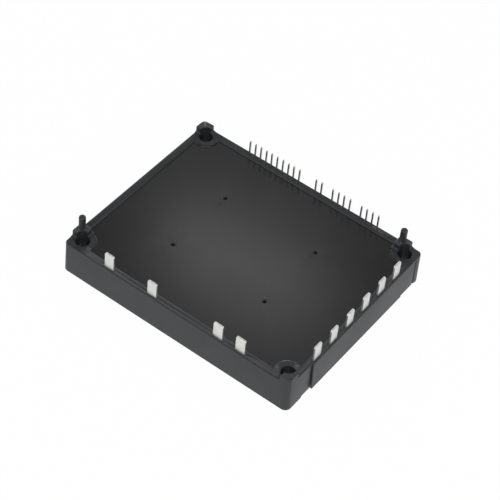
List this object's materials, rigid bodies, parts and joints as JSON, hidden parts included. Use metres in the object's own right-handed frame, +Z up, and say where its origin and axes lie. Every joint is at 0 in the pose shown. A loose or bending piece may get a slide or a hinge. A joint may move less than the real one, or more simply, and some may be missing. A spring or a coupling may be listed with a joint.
{
  "type": "igbt power module",
  "caption": "Flat insulated power module: moulded frame with recessed cover, corner fixing holes, guide posts, flat terminals and a row of thin control pins.",
  "frame": {"origin": "middle of the module on the plane of the base plate's underside, where it meets the heat sink", "axes": "+X along the long side, +Y along the short side towards the row of thin control pins, +Z up out of the base plate"},
  "size_m": [0.1014, 0.0814, 0.0217],
  "materials": {
    "black_frame": "fine-grained moulded plastic, satin",
    "black_cover": "fine-grained moulded plastic, satin",
    "nickel_plate": "satin nickel plating",
    "tinned_terminal": "matt tin plating",
    "pin_metal": "dull tin plating",
    "copper": "bare copper",
    "white_ceramic": "fired, matt",
    "solder": "dull solder",
    "silicon": "metallised, satin",
    "sensor_ceramic": "matt",
    "bond_aluminium": "bright drawn wire",
    "board": "green lacquer",
    "adhesive": "cured silicone",
    "circuit_plastic": "moulded package",
    "gel": "clear soft gel"
  },
  "bodies": {
    "root": {"housing": "black_frame", "top_cover": "black_cover", "base_plate": "nickel_plate", "terminal_front_1": "tinned_terminal", "terminal_front_2": "tinned_terminal", "terminal_front_3": "tinned_terminal", "terminal_front_4": "tinned_terminal", "terminal_side_1": "tinned_terminal", "terminal_side_2": "tinned_terminal", "terminal_side_3": "tinned_terminal", "terminal_side_4": "tinned_terminal", "terminal_side_5": "tinned_terminal", "terminal_side_6": "tinned_terminal", "control_pin_01": "pin_metal", "control_pin_02": "pin_metal", "control_pin_03": "pin_metal", "control_pin_04": "pin_metal", "control_pin_05": "pin_metal", "control_pin_06": "pin_metal", "control_pin_07": "pin_metal", "control_pin_08": "pin_metal", "control_pin_09": "pin_metal", "control_pin_10": "pin_metal", "control_pin_11": "pin_metal", "control_pin_12": "pin_metal", "control_pin_13": "pin_metal", "control_pin_14": "pin_metal", "control_pin_15": "pin_metal", "control_pin_16": "pin_metal", "control_pin_17": "pin_metal", "control_pin_18": "pin_metal", "control_pin_19": "pin_metal", "control_pin_20": "pin_metal", "inverter_back_copper": "copper", "inverter_ceramic": "white_ceramic", "inverter_tracks": "copper", "converter_back_copper": "copper", "converter_ceramic": "white_ceramic", "converter_tracks": "copper", "side_back_copper": "copper", "side_ceramic": "white_ceramic", "side_tracks": "copper", "solder_layers": "solder", "inverter_switches": "silicon", "inverter_diodes": "silicon", "rectifier_diodes": "silicon", "brake_switch": "silicon", "brake_diode": "silicon", "thermistor": "sensor_ceramic", "chip_wires": "bond_aluminium", "terminal_wires": "bond_aluminium", "pin_wires": "bond_aluminium", "control_board": "board", "board_adhesive": "adhesive", "cover_adhesive": "adhesive", "driver_circuits": "circuit_plastic", "board_capacitors": "sensor_ceramic", "silicone_gel": "gel"}
  },
  "joints": []
}
